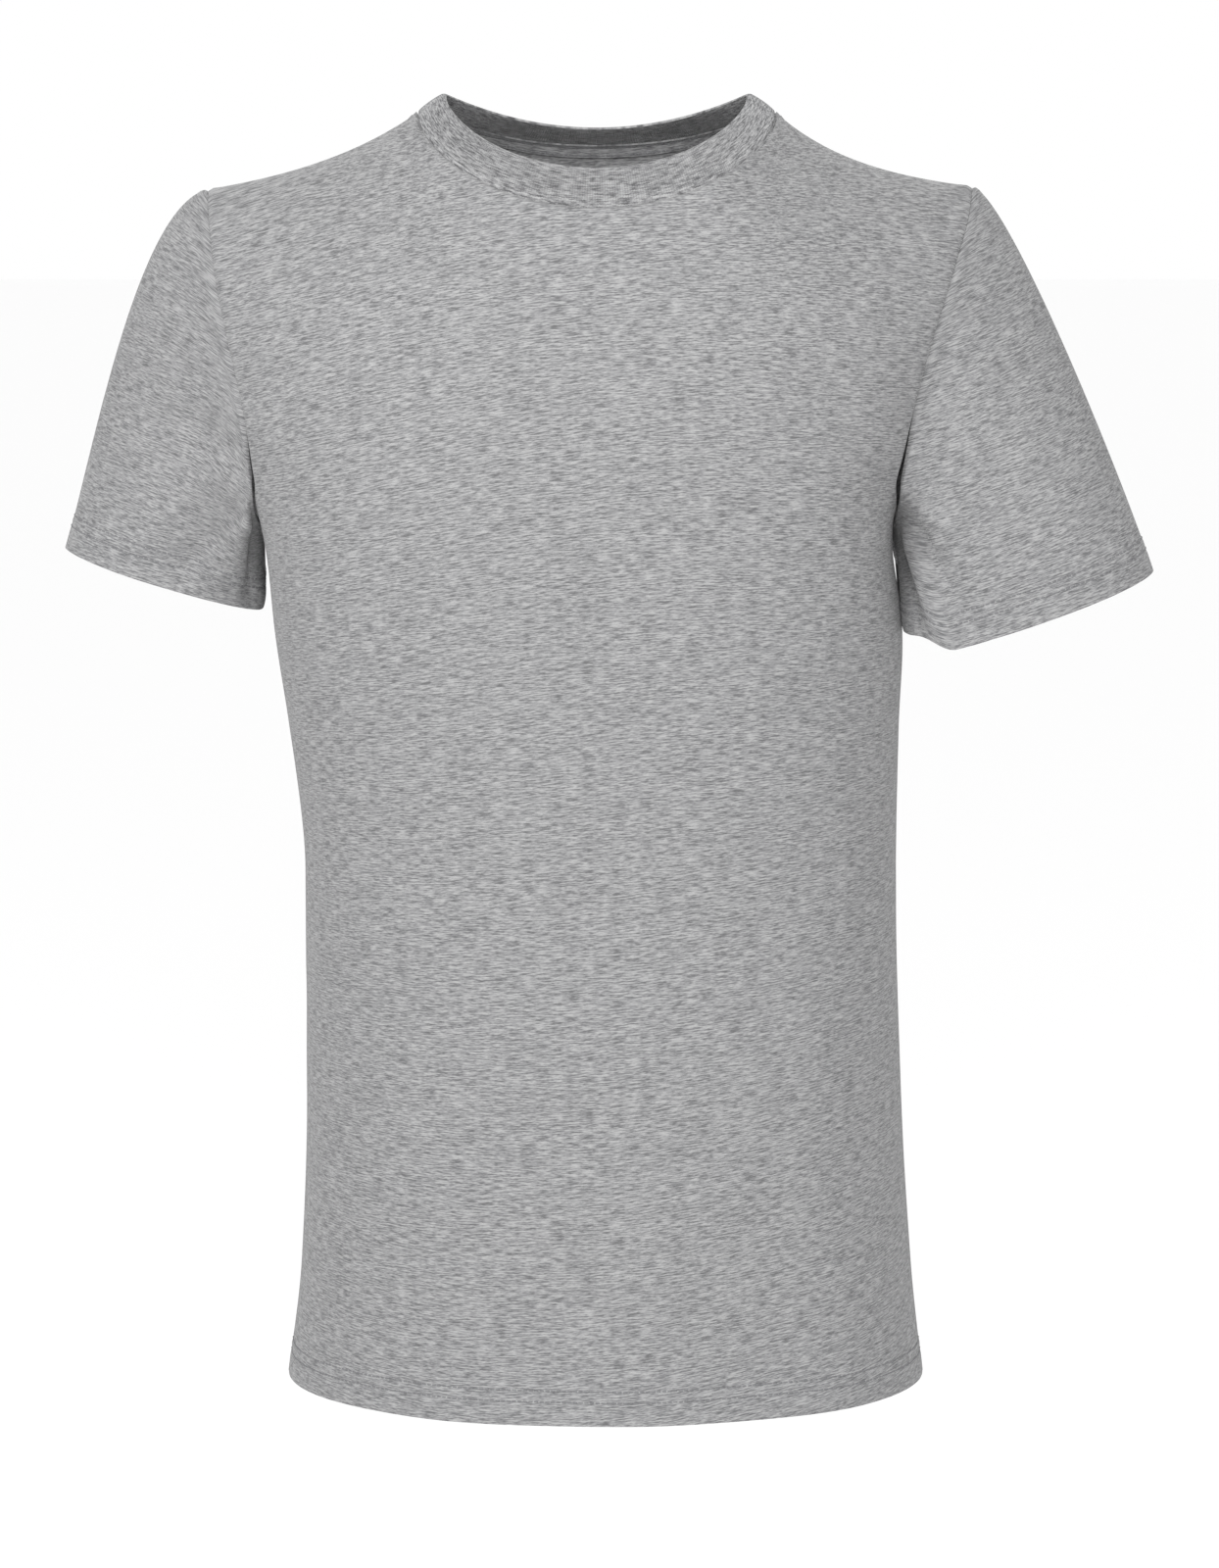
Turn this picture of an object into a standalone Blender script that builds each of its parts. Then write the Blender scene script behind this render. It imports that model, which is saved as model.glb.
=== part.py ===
"""A crew neck T-shirt in the hollow shape it has when worn, with nobody in it.

It is cut and sewn from six pieces of knitted cotton: a front, a back, two set-in short sleeves,
a doubled rib collar and a tape inside the back neck. Every piece is a thin wall.

The frame is in metres, +Z up, with the front facing -Y and the wearer's left on +X. The origin is
the middle of the neck opening, level with the points where the shoulder seams meet the collar.
"""

import math

import bpy
import numpy as np

# ---------------------------------------------------------------- driving sizes, in metres

CLOTH = 0.0012  # wall of single jersey
HEM_CLOTH = 0.0020  # where a hem is turned up
RIB_CLOTH = 0.0020  # the doubled rib
SEAM_GAP = 0.0005  # between two edges at a seam, which their facets narrow to about 0.3 mm

HEM_LEVEL = -0.700  # hem below the neck points
HEM_DEPTH = 0.020  # height of the turned-up hem, on the body and on the sleeves
HEM_STEP = 0.001  # over which the wall thins above the hem
UNDERARM_LEVEL = -0.225
UNDERARM_TURN = 0.030  # above it, the height over which the armhole's edge turns upright

NECK_HALF = 0.0974  # half the width of the neck seam, at the shoulder seams
NECK_DROP = {"front": 0.0470, "back": 0.0190}  # neck seam below the neck points
NECK_CURVE = {"front": 1.3, "back": 1.9}  # 1 is an oval neckline, more is nearer to a V
SHOULDER_TIP = {"right": 0.2120, "left": 0.2050}  # sleeve seam from the middle, on the shoulder
SHOULDER_FALL = {"right": 0.0540, "left": 0.0460}  # the shoulder line falls ever less steeply
SHOULDER_EASE = {"right": 0.0780, "left": 0.0530}  # towards this depth, over this length
SHOULDER_BACK = 0.010  # how far the shoulder tip lies behind the neck point
SHOULDER_ROUND = 0.090  # below the shoulder line, the depth over which cloth rounds over it

RIB_HALF = 0.0824  # half the width of the collar's upper edge
RIB_RISE = 0.0105  # that edge above the neck points, at the shoulders
RIB_EDGE = {"front": (0.0770, 0.0275), "back": (0.0700, 0.0090)}  # its depth and drop in the middle

TAPE_WIDTH = 0.010
TAPE_ABOVE_SEAM = 0.0030  # of its width
TAPE_CLEAR = 0.0008  # from the walls it lies on, which their facets narrow to about 0.3 mm
TAPE_CLOTH = 0.0010

ARM_PIT = 0.007  # how far the side is drawn in under the arm
ARM_PIT_REACH = 0.050  # and over what height it eases out

OUTER_POINT = 1.15  # the open end's corners: 1 is an oval's, more is sharper and less is squarer
INNER_POINT = 0.70
CORNER = 0.70  # share of an open end's half width beyond which its inner corner is pulled up

# How finely the cloth is faceted.
COLUMNS = 28  # across the front, and across the back
NECK_COLUMNS = 14  # of those, the ones that end on the neck seam
ROWS_BELOW_ARM = 11
ROWS_BESIDE_ARM = 15
SLEEVE_ROWS = 10
FINE_ROWS = 80  # of a sleeve's run while its rows are being placed
TAPE_ROWS = 4

# ---------------------------------------------------------------- tables


def table(columns, *rows):
    """A dictionary of arrays, one for each named column."""
    return dict(zip(columns.split(), np.array(rows, float).T))


# Level sections of the body. right and left are half widths and front and back are half depths, from
# the frame's origin line. side is how far behind that line the side seam runs. squareness is the
# exponent of the section's outline: 2 is an ellipse.
BODY = table(
    "level   right   left   front   back   side    squareness",
    (-0.700, 0.1715, 0.1830, 0.130, 0.116, 0.004, 2.1),
    (-0.637, 0.1648, 0.1758, 0.127, 0.112, 0.004, 2.2),
    (-0.537, 0.1612, 0.1690, 0.122, 0.106, 0.004, 2.3),
    (-0.417, 0.1612, 0.1655, 0.118, 0.104, 0.004, 2.4),
    (-0.337, 0.1692, 0.1665, 0.121, 0.110, 0.004, 2.5),
    (-0.277, 0.1792, 0.1695, 0.125, 0.115, 0.005, 2.6),
    (-0.225, 0.1880, 0.1660, 0.127, 0.118, 0.006, 2.7),
    (-0.187, 0.1990, 0.1780, 0.127, 0.119, 0.006, 2.6),
    (-0.147, 0.2130, 0.1930, 0.124, 0.119, 0.006, 2.4),
    (-0.107, 0.2290, 0.2130, 0.115, 0.114, 0.007, 2.3),
    (-0.072, 0.2430, 0.2320, 0.103, 0.107, 0.009, 2.1),
    (-0.039, 0.2560, 0.2480, 0.089, 0.097, 0.010, 2.0),
    (0.003, 0.2560, 0.2480, 0.072, 0.080, 0.010, 2.0),
)

# How far out the sleeve seam lies at each level, between the underarm point and the shoulder tip.
ARMHOLE = table(
    "level   right   left",
    (-0.219, 0.1830, 0.1600),
    (-0.202, 0.1860, 0.1630),
    (-0.162, 0.1900, 0.1700),
    (-0.117, 0.1990, 0.1810),
    (-0.082, 0.2060, 0.1920),
    (-0.057, 0.2095, 0.2000),
    (-0.039, 0.2115, 0.2040),
)

# The sleeve's open end: an oval tilted outwards. middle is its centre, half_wide runs from the
# inner to the outer corner and half_deep from front to back. lean, dip and turn say how far the
# outer corner is above the inner one, the front below the back, and the inner corner ahead of the
# outer one, in degrees. lift is how far the inner corner is pulled up into the armpit.
CUFF = {
    "right": dict(
        middle=(-0.2400, 0.030, -0.2565), half_wide=0.0570, half_deep=0.046, lean=17.0, dip=1.0, turn=0.0,
        lift=0.000,
    ),
    "left": dict(
        middle=(0.2362, -0.030, -0.2700), half_wide=0.0720, half_deep=0.041, lean=18.0, dip=1.0, turn=10.0,
        lift=0.012,
    ),
}

# How a sleeve leaves the armhole and reaches its open end: the length of the cloth's run in each
# direction, at the shoulder and under the arm. under is the direction it leaves in under the arm:
# outwards, backwards and up.
SLEEVE_RUN = {
    "right": dict(leaves=(0.120, 0.040), reaches=(0.150, 0.040), under=(0.45, 0.10, -0.90)),
    "left": dict(leaves=(0.060, 0.040), reaches=(0.130, 0.040), under=(0.60, -0.25, -0.75)),
}

SIDES = {"right": -1.0, "left": 1.0}
FACES = {"front": -1.0, "back": 1.0}

# ---------------------------------------------------------------- smooth curves


def smooth(at, xs, ys):
    """ys read at `at` along a curve through (xs, ys) that never overshoots its points."""
    at = np.clip(at, xs[0], xs[-1])
    step, rise = np.diff(xs), np.diff(ys)
    slope = rise / step
    tangent = np.zeros(len(xs))
    before, after = slope[:-1], slope[1:]
    same_way = before * after > 0
    harmonic = 2 * before * after / np.where(same_way, before + after, 1)
    tangent[1:-1] = np.where(same_way, harmonic, 0)
    tangent[0], tangent[-1] = slope[0], slope[-1]
    k = np.clip(np.searchsorted(xs, at, side="right") - 1, 0, len(step) - 1)
    u = (at - xs[k]) / step[k]
    return (
        ys[k] * (1 + 2 * u) * (1 - u) ** 2
        + ys[k + 1] * u * u * (3 - 2 * u)
        + step[k] * (tangent[k] * u * (1 - u) ** 2 - tangent[k + 1] * u * u * (1 - u))
    )


def ease(share):
    share = np.clip(share, 0, 1)
    return share * share * (3 - 2 * share)


def body(column, level):
    return smooth(level, BODY["level"], BODY[column])


def seam_angle(x, level):
    """Where the side seam or the sleeve seam crosses a level section, measured from its middle."""
    seam = np.where(
        x < 0,
        smooth(level, ARMHOLE["level"], ARMHOLE["right"]),
        smooth(level, ARMHOLE["level"], ARMHOLE["left"]),
    )
    out = np.clip(seam / half_width(x, level), 0, 1) ** (body("squareness", level) / 2)
    opened = ease((level - UNDERARM_LEVEL) / UNDERARM_TURN) ** 0.5
    return np.pi / 2 + (np.arcsin(out) - np.pi / 2) * opened


def shoulder_line(x):
    """Height of the shoulder line. It runs on upwards inside the neck, where no cloth reaches it."""
    fall = np.where(x < 0, SHOULDER_FALL["right"], SHOULDER_FALL["left"])
    easing = np.where(x < 0, SHOULDER_EASE["right"], SHOULDER_EASE["left"])
    return -fall * (1 - np.exp((NECK_HALF - np.abs(x)) / easing))


# ---------------------------------------------------------------- the form the cloth lies on


def half_width(x, level):
    return np.where(x < 0, body("right", level), body("left", level))


def section_x(side_share, level):
    """How far out a column lies on a level section, where side_share runs from -1 to 1."""
    angle = seam_angle(side_share, level) * np.abs(side_share)
    out = np.sin(angle) ** (2 / body("squareness", level))
    return np.sign(side_share) * out * half_width(side_share, level)


def form_point(x, level, face):
    """The point of the front or the back at this distance out and this level."""
    wide = half_width(x, level)
    squareness = body("squareness", level)
    reach = np.clip(np.abs(x) / wide, 0, 1)
    middle = (1 - reach**squareness) ** (1 / squareness)  # 1 at the middle, 0 at the side
    side = body("side", level)
    depth = FACES[face] * body(face, level)
    ridge = SHOULDER_BACK * ease((np.abs(x) - NECK_HALF) / (0.2 - NECK_HALF))
    over = np.clip((shoulder_line(x) - level) / SHOULDER_ROUND, 0, 1)
    rounded = np.sqrt(1 - (1 - over) ** 2)  # 0 on the shoulder line, 1 where the chest is full
    y = ridge + (side + (depth - side) * middle - ridge) * rounded
    pit = np.exp(-(((level - UNDERARM_LEVEL) / ARM_PIT_REACH) ** 2)) * (1 - middle) ** 2
    return np.stack([x - np.sign(x) * ARM_PIT * pit, y, level], axis=-1)


def neck_edge(share, face):
    """Distance out and level of the neck seam, from the middle (0) to the shoulder seam (1)."""
    turn = np.pi / 2 * np.abs(share)
    drop = NECK_DROP[face] * np.clip(np.cos(turn), 0, 1) ** NECK_CURVE[face]
    return np.sign(share) * NECK_HALF * np.sin(turn), -drop


def top_edge(side_share, face):
    """Distance out and level of a panel's upper edge: the neck seam, then the shoulder seams."""
    neck_share = NECK_COLUMNS / COLUMNS
    tip = np.where(side_share < 0, SHOULDER_TIP["right"], SHOULDER_TIP["left"])
    out = np.clip((np.abs(side_share) - neck_share) / (1 - neck_share), 0, 1)
    shoulder_x = np.sign(side_share) * (NECK_HALF + (tip - NECK_HALF) * out)
    neck_x, neck_level = neck_edge(np.clip(side_share / neck_share, -1, 1), face)
    in_neck = np.abs(side_share) < neck_share
    return (
        np.where(in_neck, neck_x, shoulder_x),
        np.where(in_neck, neck_level, shoulder_line(shoulder_x)),
    )


def panel(face):
    """The outer surface of the front or the back: rows from the hem up, columns from right to left."""
    side_share = np.linspace(-1, 1, COLUMNS + 1)
    top_x, top_level = top_edge(side_share, face)
    rows = []
    above_hem = HEM_LEVEL + HEM_DEPTH + HEM_STEP
    spaced = np.linspace(above_hem, UNDERARM_LEVEL, ROWS_BELOW_ARM - 1)[:-1]
    for level in (HEM_LEVEL, HEM_LEVEL + HEM_DEPTH, *spaced):
        levels = np.full(COLUMNS + 1, level)
        rows.append(form_point(section_x(side_share, levels), levels, face))
    shift = top_x - section_x(side_share, top_level)
    for step in range(ROWS_BESIDE_ARM + 1):
        share = step / ROWS_BESIDE_ARM
        levels = UNDERARM_LEVEL + (top_level - UNDERARM_LEVEL) * (1 - np.cos(np.pi * share)) / 2
        x = section_x(side_share, levels) + ease(share) * shift
        rows.append(form_point(x, levels, face))
    return np.array(rows)


def armhole(front, back, side):
    """The points round an armhole, from the shoulder down the front and up the back."""
    column = 0 if side == "right" else -1
    down = front[ROWS_BELOW_ARM:, column][::-1]
    up = back[ROWS_BELOW_ARM:, column]
    return np.concatenate([down, up[1:-1]])


def leaving_direction(front, back, side):
    """Which way the body's cloth runs on into the sleeve, at each point round the armhole."""
    edge, inner = (0, 1) if side == "right" else (-1, -2)
    runs = []
    for grid in (front, back):
        run = grid[ROWS_BELOW_ARM:, edge] - grid[ROWS_BELOW_ARM:, inner]
        runs.append(run / np.linalg.norm(run, axis=1, keepdims=True))
    return np.concatenate([runs[0][::-1], runs[1][1:-1]])


def turn_round(points, start, end):
    """Share of the way along a run of points, from start to end."""
    steps = np.linalg.norm(np.diff(points[start : end + 1], axis=0), axis=1)
    return np.concatenate([[0], np.cumsum(steps)]) / steps.sum()


def at_lengths(rows, lengths):
    """Points at these lengths along each column of a grid, for a row of lengths each."""
    steps = np.linalg.norm(np.diff(rows, axis=0), axis=2)
    run = np.concatenate([np.zeros((1, rows.shape[1])), np.cumsum(steps, axis=0)])
    found = np.empty(lengths.shape + (3,))
    for column in range(rows.shape[1]):
        for axis in range(3):
            found[:, column, axis] = np.interp(lengths[:, column], run[:, column], rows[:, column, axis])
    return found


def cuff_ring(side, turns):
    """The sleeve's open end, at angles from its outer corner round by the front."""
    cuff = CUFF[side]
    lean, dip = math.radians(cuff["lean"]), math.radians(cuff["dip"])
    turn = math.radians(cuff["turn"])
    level_out = np.array([SIDES[side] * math.cos(turn), math.sin(turn), 0])
    level_ahead = np.array([SIDES[side] * math.sin(turn), -math.cos(turn), 0])
    upwards = np.array([0, 0, 1])
    outwards = level_out * math.cos(lean) + upwards * math.sin(lean)
    forwards = level_ahead * math.cos(dip) - upwards * math.sin(dip)
    pulled = ease((-np.cos(turns) - CORNER) / (1 - CORNER))
    fullness = (OUTER_POINT + INNER_POINT) / 2 + (OUTER_POINT - INNER_POINT) / 2 * np.cos(turns)
    ahead = np.sign(np.sin(turns)) * np.abs(np.sin(turns)) ** fullness
    return (
        np.array(cuff["middle"])
        + cuff["half_wide"] * np.outer(np.cos(turns), outwards)
        + cuff["half_deep"] * np.outer(ahead, forwards)
        + cuff["lift"] * np.outer(pulled, upwards)
    )


def sleeve(front, back, side):
    """The outer surface of a sleeve: rows from the armhole down, columns round it."""
    seam = armhole(front, back, side)
    lowest = ROWS_BESIDE_ARM
    closed = np.concatenate([seam, seam[:1]])
    turns = np.pi * np.concatenate(
        [turn_round(closed, 0, lowest), 1 + turn_round(closed, lowest, len(seam))[1:-1]]
    )
    cuff = cuff_ring(side, turns)
    under = ease((1 - np.cos(turns)) / 2)  # 0 on the shoulder, 1 under the arm
    low = ease((under - 0.45) / 0.55)[:, None]
    below = np.array(SLEEVE_RUN[side]["under"]) * [SIDES[side], 1, 1]
    leaves = leaving_direction(front, back, side) * (1 - low) + below * low
    leaves /= np.linalg.norm(leaves, axis=1, keepdims=True)
    lean = math.radians(CUFF[side]["lean"])
    arm = np.array([SIDES[side] * math.sin(lean), 0, -math.cos(lean)])
    run = SLEEVE_RUN[side]
    leave_length = run["leaves"][0] + (run["leaves"][1] - run["leaves"][0]) * under
    reach_length = run["reaches"][0] + (run["reaches"][1] - run["reaches"][0]) * under
    fine = []
    for share in np.linspace(0, 1, FINE_ROWS):
        fine.append(
            seam * (1 + 2 * share) * (1 - share) ** 2
            + cuff * share**2 * (3 - 2 * share)
            + leaves * (leave_length * share * (1 - share) ** 2)[:, None]
            - arm * (reach_length * share**2 * (1 - share))[:, None]
        )
    fine = np.array(fine)
    long = np.linalg.norm(np.diff(fine, axis=0), axis=2).sum(axis=0)
    lengths = [(long - HEM_DEPTH - HEM_STEP) * share for share in np.linspace(0, 1, SLEEVE_ROWS)]
    return at_lengths(fine, np.array(lengths + [long - HEM_DEPTH, long]))


def neck_ring(grids, edge=-1):
    """The points of the neck seam, from the right shoulder across the front and back round."""
    first = (COLUMNS - NECK_COLUMNS) // 2
    last = first + NECK_COLUMNS
    return np.concatenate(
        [grids["front"][edge, first : last + 1], grids["back"][edge, first + 1 : last][::-1]]
    )


def rib_edge():
    """The collar's upper edge, point for point above the neck seam."""
    points = []
    for face, shares in (
        ("front", np.linspace(-1, 1, NECK_COLUMNS + 1)),
        ("back", np.linspace(1, -1, NECK_COLUMNS + 1)[1:-1]),
    ):
        depth, drop = RIB_EDGE[face]
        turn = np.pi / 2 * shares
        points.append(
            np.stack(
                [
                    RIB_HALF * np.sin(turn),
                    FACES[face] * depth * np.cos(turn),
                    RIB_RISE - (RIB_RISE + drop) * np.clip(np.cos(turn), 0, 1) ** NECK_CURVE[face],
                ],
                axis=-1,
            )
        )
    return np.concatenate(points)


# ---------------------------------------------------------------- from surfaces to walls


def normals_of(grid, ring):
    """Unit normals of a grid of points, pointing out of the garment."""
    down = np.gradient(grid, axis=0)
    across = (np.roll(grid, -1, 1) - np.roll(grid, 1, 1)) if ring else np.gradient(grid, axis=1)
    normal = np.cross(across, down)
    normal /= np.linalg.norm(normal, axis=2, keepdims=True)
    outwards = np.sum(normal * (grid - grid.mean(axis=(0, 1))))
    return normal * np.sign(outwards)


def shared(first, second):
    """The direction halfway between two walls' normals at their seam."""
    both = first + second
    return both / np.linalg.norm(both, axis=-1, keepdims=True)


def draw_back(seam, out, neighbours):
    """How far to move a seam's points into their own piece, to leave half the gap there."""
    along = np.gradient(seam, axis=0)
    across = np.cross(along, out)
    across /= np.linalg.norm(across, axis=1, keepdims=True)
    into = np.sign(np.sum(across * (neighbours - seam), axis=1, keepdims=True))
    return across * into * SEAM_GAP / 2


def tape(back, back_out, collar, collar_out, first, last):
    """The neck tape, inside the back neck: a strip over the neck seam, and its inward direction."""
    keep = slice(first + 1, last)
    in_collar = slice(-1, NECK_COLUMNS, -1)
    above = collar[1, in_collar] - collar[0, in_collar]
    above *= TAPE_ABOVE_SEAM / np.linalg.norm(above, axis=1, keepdims=True)
    lengths = np.linspace(0, TAPE_WIDTH - TAPE_ABOVE_SEAM, TAPE_ROWS)
    lengths = np.tile(lengths[:, None], NECK_COLUMNS - 1)
    on_back = at_lengths(back[::-1, keep], lengths)
    down = np.linalg.norm(np.diff(back[::-1, keep], axis=0), axis=2).cumsum(axis=0)
    outwards = [collar_out[1, in_collar], back_out[-1, keep]]
    for length in lengths[1:, 0]:
        row = np.argmax(down > length, axis=0)
        outwards.append(back_out[-2 - row, np.arange(first + 1, last)])
    outwards = np.array(outwards)
    clear = np.full((TAPE_ROWS + 1, 1, 1), CLOTH + TAPE_CLEAR)
    clear[:2] = RIB_CLOTH + TAPE_CLEAR
    rows = np.concatenate([(collar[0, in_collar] + above)[None], on_back])
    return rows - outwards * clear, -outwards


def ring_draw_back(seam, out, neighbours):
    """The same for a seam that closes on itself."""
    seam, out, neighbours = (np.concatenate([ring[-1:], ring, ring[:1]]) for ring in (seam, out, neighbours))
    return draw_back(seam, out, neighbours)[1:-1]


def wall(name, outer, inward, ring, material):
    """A closed solid between a grid of outer points and the same grid moved by inward."""
    rows, columns = outer.shape[:2]
    inner = outer + inward
    vertices = np.concatenate([outer.reshape(-1, 3), inner.reshape(-1, 3)])
    under = rows * columns

    def at(row, column):
        return row * columns + column % columns

    faces = []
    for row in range(rows - 1):
        for column in range(columns if ring else columns - 1):
            quad = (at(row, column), at(row + 1, column), at(row + 1, column + 1), at(row, column + 1))
            faces.append(quad)
            faces.append(tuple(under + corner for corner in reversed(quad)))
    rim = [[at(0, column) for column in range(columns)], [at(rows - 1, column) for column in range(columns)][::-1]]
    if ring:
        rim = [edge + edge[:1] for edge in (rim[0], rim[1])]
    else:
        right_side = [at(row, 0) for row in range(rows)][::-1]
        left_side = [at(row, columns - 1) for row in range(rows)]
        rim += [right_side, left_side]
    for edge in rim:
        for a, b in zip(edge, edge[1:]):
            faces.append((a, b, under + b, under + a))
    quads = np.array(faces)
    a, b, c, d = (vertices[quads[:, k]] for k in range(4))
    volume = np.sum(np.cross(a, b) * c) + np.sum(np.cross(a, c) * d)
    if volume < 0:
        faces = [tuple(reversed(face)) for face in faces]
    mesh = bpy.data.meshes.new(name)
    mesh.from_pydata(vertices.tolist(), [], faces)
    mesh.update()
    mesh.shade_smooth()
    mesh.set_sharp_from_angle(angle=math.radians(50))
    mesh.materials.append(material)
    thing = bpy.data.objects.new(name, mesh)
    bpy.context.scene.collection.objects.link(thing)
    return thing


def cloth(name, colour, roughness):
    material = bpy.data.materials.new(name)
    material.use_nodes = True
    shader = material.node_tree.nodes["Principled BSDF"]
    shader.inputs["Base Color"].default_value = (*colour, 1.0)
    shader.inputs["Roughness"].default_value = roughness
    shader.inputs["Metallic"].default_value = 0.0
    return material


def hem_wall(grid, hem_rows):
    """The wall at each point of a piece that has a turned-up hem."""
    thick = np.full(grid.shape[:2] + (1,), CLOTH)
    thick[hem_rows] = HEM_CLOTH
    return thick


def clear_scene():
    for thing in list(bpy.data.objects):
        bpy.data.objects.remove(thing, do_unlink=True)


def build():
    clear_scene()
    jersey = cloth("heather_jersey", (0.40, 0.40, 0.41), 0.95)
    rib = cloth("heather_rib", (0.36, 0.36, 0.37), 0.95)
    grids = {face: panel(face) for face in FACES}
    sleeves = {side: sleeve(grids["front"], grids["back"], side) for side in SIDES}
    seam, upper = neck_ring(grids), rib_edge()
    collar = np.stack([seam, seam + (upper - seam) * 0.5, upper])

    # Normals of each surface, then one shared direction wherever two pieces meet.
    out = {face: normals_of(grids[face], False) for face in FACES}
    sleeve_out = {side: normals_of(sleeves[side], True) for side in SIDES}
    side_out = shared(out["front"][:, [0, -1]], out["back"][:, [0, -1]])
    shoulder = [k for k in range(COLUMNS + 1) if abs(k - COLUMNS / 2) >= NECK_COLUMNS / 2]
    shoulder_out = shared(out["front"][-1, shoulder], out["back"][-1, shoulder])
    for face in FACES:
        below = slice(0, ROWS_BELOW_ARM + 1)
        out[face][below, [0]] = side_out[below, [0]]
        out[face][below, [-1]] = side_out[below, [1]]
        out[face][-1, shoulder] = shoulder_out
    for side, column in (("right", 0), ("left", -1)):
        ring_out = armhole(
            out["front"][:, [column]].repeat(2, axis=1), out["back"][:, [column]].repeat(2, axis=1), "right"
        )
        mitre = shared(ring_out, sleeve_out[side][0])
        sleeve_out[side][0] = mitre
        down = mitre[: ROWS_BESIDE_ARM + 1][::-1]
        up = np.concatenate([mitre[ROWS_BESIDE_ARM:], mitre[:1]])
        out["front"][ROWS_BELOW_ARM:, column] = down
        out["back"][ROWS_BELOW_ARM:, column] = up

    collar_out = normals_of(collar, True)
    first = (COLUMNS - NECK_COLUMNS) // 2
    last = first + NECK_COLUMNS
    neck_out = neck_ring(out)
    mitre = shared(neck_out, collar_out[0])
    collar_out[0] = mitre
    out["front"][-1, first : last + 1] = mitre[: NECK_COLUMNS + 1]
    out["back"][-1, first + 1 : last] = mitre[NECK_COLUMNS + 1 :][::-1]
    out["back"][-1, [first, last]] = mitre[[0, NECK_COLUMNS]]

    for face in FACES:
        surface = grids[face]
        moved = np.zeros_like(surface)
        for column, inside in ((0, 1), (-1, -2)):
            for rows in (slice(0, ROWS_BELOW_ARM + 1), slice(ROWS_BELOW_ARM, None)):
                edge, own = surface[rows, column], out[face][rows, column]
                moved[rows, column] += draw_back(edge, own, surface[rows, inside])
        moved[-1] += draw_back(surface[-1], out[face][-1], surface[-2])
        grid = surface + moved
        wall(face, grid, -out[face] * hem_wall(grid, [0, 1]), False, jersey)
    for side in SIDES:
        grid = sleeves[side].copy()
        grid[0] += ring_draw_back(grid[0], sleeve_out[side][0], grid[1])
        wall(side + "_sleeve", grid, -sleeve_out[side] * hem_wall(grid, [-1, -2]), True, jersey)
    tape_rows, tape_in = tape(grids["back"], out["back"], collar, collar_out, first, last)
    collar[0] += ring_draw_back(collar[0], collar_out[0], collar[1])
    wall("collar", collar, -collar_out * RIB_CLOTH, True, rib)
    wall("neck_tape", tape_rows, tape_in * TAPE_CLOTH, False, jersey)


build()
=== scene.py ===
"""The look of the crew neck T-shirt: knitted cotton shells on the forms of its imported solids.

Metres, +Z up, the front facing -Y, the wearer's left on +X. The origin is the middle of the neck
opening, level with the points where the shoulder seams meet the collar.
"""

import math

import bpy
import numpy as np
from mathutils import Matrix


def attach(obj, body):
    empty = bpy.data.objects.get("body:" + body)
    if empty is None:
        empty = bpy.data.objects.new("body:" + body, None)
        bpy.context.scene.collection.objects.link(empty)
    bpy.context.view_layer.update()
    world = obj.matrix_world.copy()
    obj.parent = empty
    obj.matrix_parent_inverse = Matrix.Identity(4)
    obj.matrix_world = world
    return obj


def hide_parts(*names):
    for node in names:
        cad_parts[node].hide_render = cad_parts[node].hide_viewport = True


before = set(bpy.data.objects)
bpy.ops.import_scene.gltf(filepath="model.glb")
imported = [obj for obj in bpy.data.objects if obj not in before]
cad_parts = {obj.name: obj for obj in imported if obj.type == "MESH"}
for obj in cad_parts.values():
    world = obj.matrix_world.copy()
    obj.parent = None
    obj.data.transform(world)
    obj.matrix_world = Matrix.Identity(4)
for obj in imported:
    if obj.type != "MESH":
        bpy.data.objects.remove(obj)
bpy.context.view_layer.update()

# ---------------------------------------------------------------- sizes of the cut, as in the solids

CLOTH = 0.0012
RIB_CLOTH = 0.0020
HEM_LEVEL = -0.700
HEM_DEPTH = 0.020
UNDERARM_LEVEL = -0.225
UNDERARM_TURN = 0.030
NECK_HALF = 0.0974
NECK_DROP = {"front": 0.0470, "back": 0.0190}
NECK_CURVE = {"front": 1.3, "back": 1.9}
SHOULDER_FALL = {"right": 0.0540, "left": 0.0460}
SHOULDER_EASE = {"right": 0.0780, "left": 0.0530}
SHOULDER_TIP = {"right": 0.2120, "left": 0.2050}
SHOULDER_BACK = 0.010
SHOULDER_ROUND = 0.090
RIB_HALF = 0.0824
RIB_RISE = 0.0105
RIB_EDGE = {"front": (0.0770, 0.0275), "back": (0.0700, 0.0090)}
ARM_PIT = 0.007
ARM_PIT_REACH = 0.050
OUTER_POINT = 1.15
INNER_POINT = 0.70
CORNER = 0.70
SIDES = {"right": -1.0, "left": 1.0}
FACES = {"front": -1.0, "back": 1.0}

# How finely the shells are meshed.
COLUMNS = 168
NECK_COLUMNS = 84
ROWS_BELOW_ARM = 150
ROWS_BESIDE_ARM = 72
SLEEVE_ROWS = 96
FINE_ROWS = 120

# The knit and the stitching.
RIB_PITCH = 0.0014  # one wale of the collar's rib to the next
STITCH = 0.0030  # length of a stitch on the needle rows
NEEDLE_GAP = 0.006  # between the two rows of a hem
THREAD = 0.00032  # thickness of the sewing thread as it shows
RIB_DEPTH = 0.00022  # how far a wale of the rib stands out
RIB_HEIGHT = 0.022  # of the collar, from its seam to its folded edge
RIB_SWELL = 0.0011  # how far the middle of the doubled rib bulges
RIM_FOLD = 0.0004  # how much each wall draws in at the folded edge
SEAM_TUCK = 0.0016  # how far the rib sinks where it is sewn on

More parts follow.
